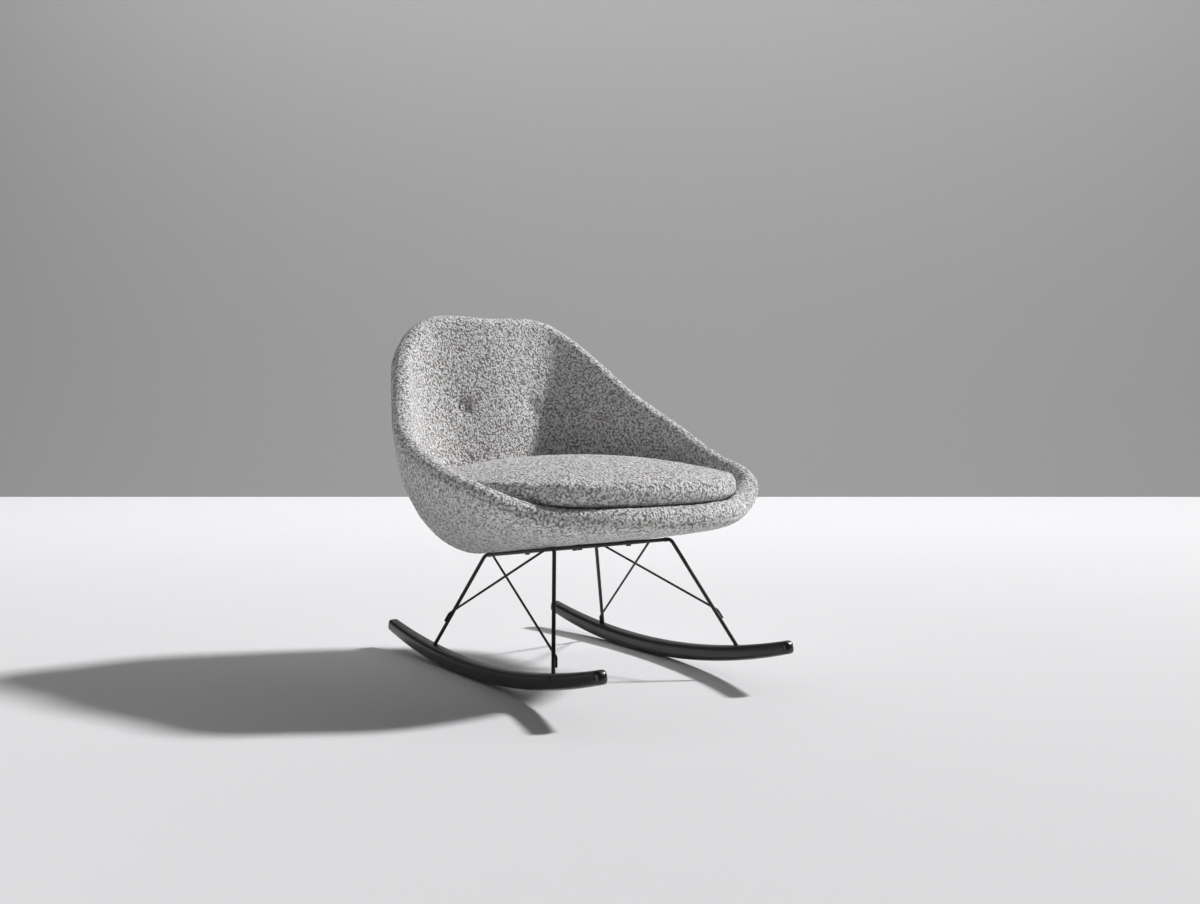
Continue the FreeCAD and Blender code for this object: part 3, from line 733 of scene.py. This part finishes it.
def tube(name, path, radius, reference=ACROSS, sides=20):
    """A round rod: circles carried along a path, square to it, kept upright by a reference."""
    tangent = unit(np.gradient(path, axis=0))
    first = unit(reference - tangent * (tangent @ reference)[:, None])
    second = np.cross(tangent, first)
    turn = np.linspace(0, 2 * math.pi, sides, endpoint=False)
    ring = first[:, None] * np.cos(turn)[:, None] + second[:, None] * np.sin(turn)[:, None]
    bodies = path[:, None] + ring * radius
    start = path[0] + ring[0] * radius * 0.8 - tangent[0] * radius * 0.12
    end = path[-1] + ring[-1] * radius * 0.8 + tangent[-1] * radius * 0.12
    poles = [np.broadcast_to(path[0] - tangent[0] * radius * 0.15, start.shape),
             np.broadcast_to(path[-1] + tangent[-1] * radius * 0.15, end.shape)]
    grid = np.concatenate([poles[0][None], start[None], bodies, end[None], poles[1][None]])
    return surface(name, grid)


def corner_point(side, end):
    """A corner of the top frame: side 1 left, -1 right; end 1 rear, -1 front."""
    return on_seat(side * FRAME_HALF_WIDTH, end * FRAME_HALF_DEPTH, 0)


FOOT_REACH = {1: 0.137, -1: 0.346}
ARC_MIDDLE = np.array([0, CONTACT_Y, (ARC_RADIUS + RUNNER_HALF_HEIGHT) * math.cos(HALF_FLAT)])


def foot_point(side, end):
    """Where a leg enters the top of its runner."""
    reach = FOOT_REACH[end]
    rise = ARC_MIDDLE[2] - math.sqrt((ARC_RADIUS - RUNNER_HALF_HEIGHT) ** 2 - reach ** 2)
    return np.array([side * RUNNER_ASIDE, CONTACT_Y + end * reach, rise])


def side_frame_path(side):
    """The bent rod of one side, from the rear foot over the top bar to the front foot."""
    rear, front = corner_point(side, 1), corner_point(side, -1)
    rear_foot, front_foot = foot_point(side, 1), foot_point(side, -1)
    rear_end = rear_foot + unit(rear_foot - rear) * LEG_DEPTH
    front_end = front_foot + unit(front_foot - front) * LEG_DEPTH
    return rounded_path([rear_end, rear, front, front_end], BEND_RADIUS)


BRACES = {
    "right_brace_to_rear": (-1, 0.95, 1, 0.66, 1), "right_brace_to_front": (-1, 0.08, -1, 0.88, -1),
    "left_brace_to_front": (1, 0.05, -1, 0.69, 1), "left_brace_to_rear": (1, 0.75, 1, 0.90, -1)}


def brace_corners(side, along, end, down, lap):
    """A brace's start beside the top bar, its bend beside a leg and its end further down the leg."""
    rear, front = corner_point(side, 1), corner_point(side, -1)
    corner, foot = corner_point(side, end), foot_point(side, end)
    way = unit(foot - corner)
    start = rear + (front - rear) * along
    bend = corner + (foot - corner) * down
    slope = unit(bend - start)
    shifts = []
    for direction in (unit(front - rear), way):
        shift = unit(np.cross(slope, direction))
        shifts.append(shift * math.copysign(BRACE_LAP, shift[0] * side * lap))
    return [start + shifts[0], bend + shifts[1], bend + shifts[1] + way * BRACE_END]


def weld(centre, along, radius, seed):
    """A small uneven bead: a stretched ball with value noise on its radius."""
    turn = np.linspace(0, 2 * math.pi, 20, endpoint=False)
    rise = np.linspace(0, math.pi, 12)
    ball = np.stack([np.cos(rise)[:, None] * np.ones_like(turn) * 2.2,
                     np.sin(rise)[:, None] * np.cos(turn), np.sin(rise)[:, None] * np.sin(turn)], -1)
    second = unit(np.cross(along, UP + ACROSS * 0.3))
    third = np.cross(along, second)
    points = ball @ np.stack([along, second, third]) * radius
    points = points * (1 + 0.12 * lumps(points + seed, 0.0018, seed))[..., None]
    return surface("weld", centre + points)


def build_base():
    """Side frames, braces, crossbars and the beads of their welds."""
    made = {}
    beads = []
    for side, word in ((1, "left"), (-1, "right")):
        made["side_frame_" + word] = tube("bent_frame_" + word, side_frame_path(side), ROD / 2)
    for name, values in BRACES.items():
        corners = brace_corners(*values)
        made[name] = tube(name + "_rod", rounded_path(corners, BRACE_BEND), BRACE_RADIUS)
        side, along, end, down, lap = values
        rear, front = corner_point(side, 1), corner_point(side, -1)
        bar = rear + (front - rear) * along
        beads.append(weld((corners[0] * 0.6 + bar * 0.4), unit(front - rear), BRACE_BEAD, len(beads)))
        leg = corner_point(side, end)
        way = unit(foot_point(side, end) - leg)
        low = corners[2] - way * 0.008
        axis = leg + way * ((low - leg) @ way)
        beads.append(weld(low * 0.6 + axis * 0.4, way, BRACE_BEAD, len(beads)))
    for word, end in (("rear", 1), ("front", -1)):
        back = end * (FRAME_HALF_DEPTH - CROSSBAR_INSET)
        path = np.stack([on_seat(x, back, 0) for x in np.linspace(-CROSSBAR_REACH, CROSSBAR_REACH, 20)])
        made["crossbar_" + word] = tube("cross_rod_" + word, path, ROD / 2, UP)
        for side in (1, -1):
            beads.append(weld(on_seat(side * 0.1425, back, 0), ACROSS, CROSSBAR_BEAD, len(beads)))
    return made, joined("weld_beads", beads)


def runner_surface(side, sections=200, points=48):
    """A curved runner: a superellipse carried along an arc, narrowing with the square of the way to
    each tip, and closed by quarter ellipses."""
    front, rear = -FRONT_TIP, REAR_TIP
    angle = np.linspace(front, rear, sections)
    share = np.ones(sections)
    tip = TIP_LENGTH / ARC_RADIUS
    quarter = np.linspace(0, math.pi / 2, 12)[:-1]
    angle = np.concatenate([front - tip * np.cos(quarter), angle, (rear + tip * np.cos(quarter))[::-1]])
    share = np.concatenate([np.sin(quarter), share, np.sin(quarter)[::-1]])
    narrow = np.clip(np.maximum(angle / rear, angle / front), 0, 1) ** 2
    height = (RUNNER_HALF_HEIGHT - 0.0045 * narrow) * share
    width = (RUNNER_HALF_WIDTH - 0.0035 * narrow) * share
    turn = np.linspace(0, 2 * math.pi, points, endpoint=False)
    across = power(np.cos(turn), 2 / RUNNER_SQUARENESS)[None] * width[:, None]
    rise = power(np.sin(turn), 2 / RUNNER_SQUARENESS)[None] * height[:, None]
    away = np.stack([0 * angle, np.sin(angle), -np.cos(angle)], -1)
    middle = ARC_MIDDLE + away * ARC_RADIUS + ACROSS * side * RUNNER_ASIDE
    return middle[:, None] + ACROSS * across[..., None] - away[:, None] * rise[..., None]


def build_runners():
    """The left and the right runner."""
    return {word: surface("lacquered_runner_" + word, runner_surface(side))
            for side, word in ((1, "left"), (-1, "right"))}


# Operators

class BuildTub(bpy.types.Operator):
    """Build the upholstered tub: inside with its rolled rim and tufts, and outside"""

    bl_idname = "lounge.tub"
    bl_label = "Tub"

    def execute(self, context):
        sizes = context.scene.lounge_sizes
        inside, outside = build_tub(sizes.tub_stations, sizes.tub_rows)
        cloth = finishes["boucle"]
        place_piece(inside, CHAIR, "pad_fabric", cloth, "inner_pad")
        place_piece(outside, CHAIR, "cover_fabric", cloth, "outer_cover")
        return {"FINISHED"}


class BuildCushion(bpy.types.Operator):
    """Build the loose seat cushion"""

    bl_idname = "lounge.cushion"
    bl_label = "Seat cushion"

    def execute(self, context):
        piece = build_cushion(context.scene.lounge_sizes.cushion_stations)
        place_piece(piece, CUSHION, "cushion_fabric", finishes["boucle"], "cushion_core",
                    "cushion_bottom_panel", "cushion_side_band", "cushion_top_panel")
        return {"FINISHED"}


class BuildBase(bpy.types.Operator):
    """Build the bent-rod frames, the braces, the crossbars and the weld beads"""

    bl_idname = "lounge.base"
    bl_label = "Rod base"

    def execute(self, context):
        made, beads = build_base()
        for node, piece in made.items():
            place_piece(piece, CHAIR, "black_metal", finishes["steel"], node)
        place_piece(beads, CHAIR, "black_metal", finishes["steel"])
        return {"FINISHED"}


class BuildRunners(bpy.types.Operator):
    """Build the two lacquered wooden runners"""

    bl_idname = "lounge.runners"
    bl_label = "Runners"

    def execute(self, context):
        for word, piece in build_runners().items():
            place_piece(piece, CHAIR, "black_wood", finishes["lacquer"], "runner_" + word)
        return {"FINISHED"}


class DressHardware(bpy.types.Operator):
    """Give the solids that stay their own finishes"""

    bl_idname = "lounge.hardware"
    bl_label = "Hardware"

    def execute(self, context):
        looks = {
            "mount_tab": "steel", "rubber_pad": "rubber", "mount_bolts": "steel", "mount_washers": "steel",
            "mount_nuts": "zinc", "board_screws": "zinc", "leg_screws": "steel", "mounting_board": "plywood",
            "tub_shell": "shell", "outer_foam": "foam", "tuft_buttons": "boucle", "tuft_cords": "cord",
            "tuft_anchors": "shell"}
        for name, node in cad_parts.items():
            for start, look in looks.items():
                if name.startswith(start):
                    node.data.materials.clear()
                    node.data.materials.append(finishes[look])
        return {"FINISHED"}


class BuildStage(bpy.types.Operator):
    """Build the floor, the wall, the lamps and the camera"""

    bl_idname = "lounge.stage"
    bl_label = "Stage"

    def execute(self, context):
        build_stage(context.scene, context.scene.lounge_sizes)
        return {"FINISHED"}


SUN_AZIMUTH = math.radians(105)
SUN_HEIGHT = math.radians(39)


def flat_piece(name, corners, colour):
    """One flat stage surface with a plain finish."""
    mesh = bpy.data.meshes.new(name)
    mesh.from_pydata([tuple(corner) for corner in corners], [], [(0, 1, 2, 3)])
    piece = bpy.data.objects.new(name, mesh)
    bpy.context.scene.collection.objects.link(piece)
    made = Finish(name)
    tone = made.blend(made.noise(1.2, 2.0)[0] * 0.1, rgba(colour), rgba(colour, 0.94))
    mesh.materials.append(made.set(Base_Color=tone, Roughness=0.85))
    piece.visible_shadow = False
    return piece


def lamp(name, place, target, size, watts):
    """A square soft lamp aimed at a point."""
    data = bpy.data.lights.new(name, "AREA")
    data.shape = "RECTANGLE"
    data.size, data.size_y = size
    data.energy = watts
    made = bpy.data.objects.new(name, data)
    made.location = place
    made.rotation_euler = (Vector(target) - Vector(place)).to_track_quat("-Z", "Y").to_euler()
    made.visible_camera = False
    bpy.context.scene.collection.objects.link(made)


def sun(strength, azimuth, height):
    """A distant lamp by its strength, its turn from +Y towards +X and its height over the floor."""
    data = bpy.data.lights.new("sun", "SUN")
    data.energy = strength
    data.angle = math.radians(6)
    made = bpy.data.objects.new("sun", data)
    level = Vector((math.sin(azimuth), math.cos(azimuth), 0)) * math.cos(height)
    towards = level + Vector((0, 0, math.sin(height)))
    made.rotation_euler = towards.to_track_quat("Z", "Y").to_euler()
    bpy.context.scene.collection.objects.link(made)


def build_stage(scene, sizes):
    """A pale floor and wall, soft lamps, and the camera at the photograph's place."""
    heading = math.radians(34.915)
    pitch = math.radians(2.4)
    place = Vector((-1.4202, -2.1336, 0.5746))
    ahead = Vector((math.sin(heading), math.cos(heading), 0))
    right = Vector((math.cos(heading), -math.sin(heading), 0))
    wide, back = 9.0, 7.21
    far = place + ahead * back
    far.z = 0
    near = far - ahead * 16
    flat_piece("floor", [near - right * wide, near + right * wide, far + right * wide,
                         far - right * wide], tuple(sizes.floor_colour))
    lift = Vector((0, 0, 9))
    flat_piece("wall", [far - right * wide, far + right * wide, far + right * wide + lift,
                        far - right * wide + lift], tuple(sizes.wall_colour))
    sun(sizes.key_strength, SUN_AZIMUTH, SUN_HEIGHT)
    lamp("low_fill", Vector((-2.6, -0.5, 0.34)), Vector((0, 0, 0.34)), (1.8, 0.5), 6)
    lamp("wall_light", far - ahead * 2.6 + right * 0.6 + Vector((0, 0, 4.7)),
         far + right * 0.8 + Vector((0, 0, 2.2)), (9.0, 0.8), sizes.wall_power)
    world = bpy.data.worlds.new("studio")
    scene.world = world
    world.use_nodes = True
    world.node_tree.nodes["Background"].inputs[0].default_value = (1, 1, 1, 1)
    world.node_tree.nodes["Background"].inputs[1].default_value = sizes.ambient
    data = bpy.data.cameras.new("camera")
    data.sensor_width = 36.0
    data.lens = 35.757
    data.clip_end = 60
    camera = bpy.data.objects.new("camera", data)
    forward = (ahead * math.cos(pitch) - Vector((0, 0, math.sin(pitch)))).normalized()
    rise = right.cross(forward)
    turn = Matrix((right, rise, -forward)).transposed()
    camera.matrix_world = Matrix.Translation(place) @ turn.to_4x4()
    scene.collection.objects.link(camera)
    scene.camera = camera
    scene.view_settings.view_transform = "Standard"


class LoungeSizes(bpy.types.PropertyGroup):
    """Sizes and colours that a user would change."""

    tub_stations: IntProperty(name="Tub stations", description="Points round the tub", default=520, min=40)
    tub_rows: IntProperty(name="Tub rows", description="Rings up each side of the tub", default=170, min=20)
    cushion_stations: IntProperty(
        name="Cushion stations", description="Points round the cushion", default=240, min=40)
    wool_light: FloatVectorProperty(
        name="Light wool", description="Colour of the loops", subtype="COLOR", default=(0.90, 0.897, 0.90))
    # The dark wool colour is the painted shade in the gaps between the loops. It also darkens the random
    # flecks and the slow unevenness.
    wool_dark_and_gap_shade: FloatVectorProperty(
        name="Dark wool", description="Colour between the loops", subtype="COLOR",
        default=(0.27, 0.25, 0.243))
    black: FloatVectorProperty(
        name="Black", description="Colour of the base and the runners", subtype="COLOR",
        default=(0.008, 0.008, 0.009))
    floor_colour: FloatVectorProperty(
        name="Floor", description="Colour of the floor", subtype="COLOR", default=(0.80, 0.80, 0.815))
    wall_colour: FloatVectorProperty(
        name="Wall", description="Colour of the wall", subtype="COLOR", default=(0.52, 0.515, 0.515))
    ambient: FloatProperty(name="Ambient", description="Strength of the even light", default=0.07, min=0)
    key_strength: FloatProperty(name="Key lamp", description="Strength of the main lamp", default=3.6, min=0)
    wall_power: FloatProperty(
        name="Wall lamp", description="Power of the wall's lamp", unit="POWER", default=120, min=0)


class LoungePanel(bpy.types.Panel):
    """The chair's pieces in the sidebar"""

    bl_label = "Lounge Chair"
    bl_idname = "LOUNGE_PT_pieces"
    bl_space_type = "VIEW_3D"
    bl_region_type = "UI"
    bl_category = "Lounge Chair"

    def draw(self, context):
        sizes = context.scene.lounge_sizes
        for name in LoungeSizes.__annotations__:
            self.layout.prop(sizes, name)
        for operator in OPERATORS:
            self.layout.operator(operator.bl_idname)


OPERATORS = (BuildTub, BuildCushion, BuildBase, BuildRunners, DressHardware, BuildStage)
CLASSES = (LoungeSizes, *OPERATORS, LoungePanel)


def register():
    """Add the classes and the scene's sizes."""
    for kind in CLASSES:
        bpy.utils.register_class(kind)
    bpy.types.Scene.lounge_sizes = PointerProperty(type=LoungeSizes)


def unregister():
    """Take the sizes and the classes away again."""
    del bpy.types.Scene.lounge_sizes
    for kind in reversed(CLASSES):
        bpy.utils.unregister_class(kind)


def make_finishes(sizes):
    """Every finish of the chair, by name."""
    finishes["boucle"] = boucle_finish("boucle_wool", tuple(sizes.wool_light), tuple(sizes.wool_dark_and_gap_shade))
    finishes["lacquer"] = lacquer_finish("black_lacquer", tuple(sizes.black))
    finishes["steel"] = coated_steel_finish("black_powder_coat", tuple(sizes.black))
    finishes["zinc"] = plain_finish("zinc_plate", (0.62, 0.62, 0.6), 0.3, 1.0)
    finishes["rubber"] = plain_finish("rubber", (0.03, 0.03, 0.03), 0.75)
    finishes["plywood"] = plain_finish("plywood", (0.55, 0.4, 0.24), 0.6, 0.0, 80.0)
    finishes["shell"] = plain_finish("moulded_shell", (0.05, 0.05, 0.05), 0.5)
    finishes["foam"] = plain_finish("foam", (0.75, 0.72, 0.6), 0.85, 0.0, 700.0, 0.0006)
    finishes["cord"] = plain_finish("twine", (0.5, 0.48, 0.44), 0.85, 0.0, 900.0)


def main():
    """Build the chair and its stage."""
    register()
    make_finishes(bpy.context.scene.lounge_sizes)
    bpy.ops.lounge.tub()
    bpy.ops.lounge.cushion()
    bpy.ops.lounge.base()
    bpy.ops.lounge.runners()
    bpy.ops.lounge.hardware()
    bpy.ops.lounge.stage()


if __name__ == "__main__":
    main()
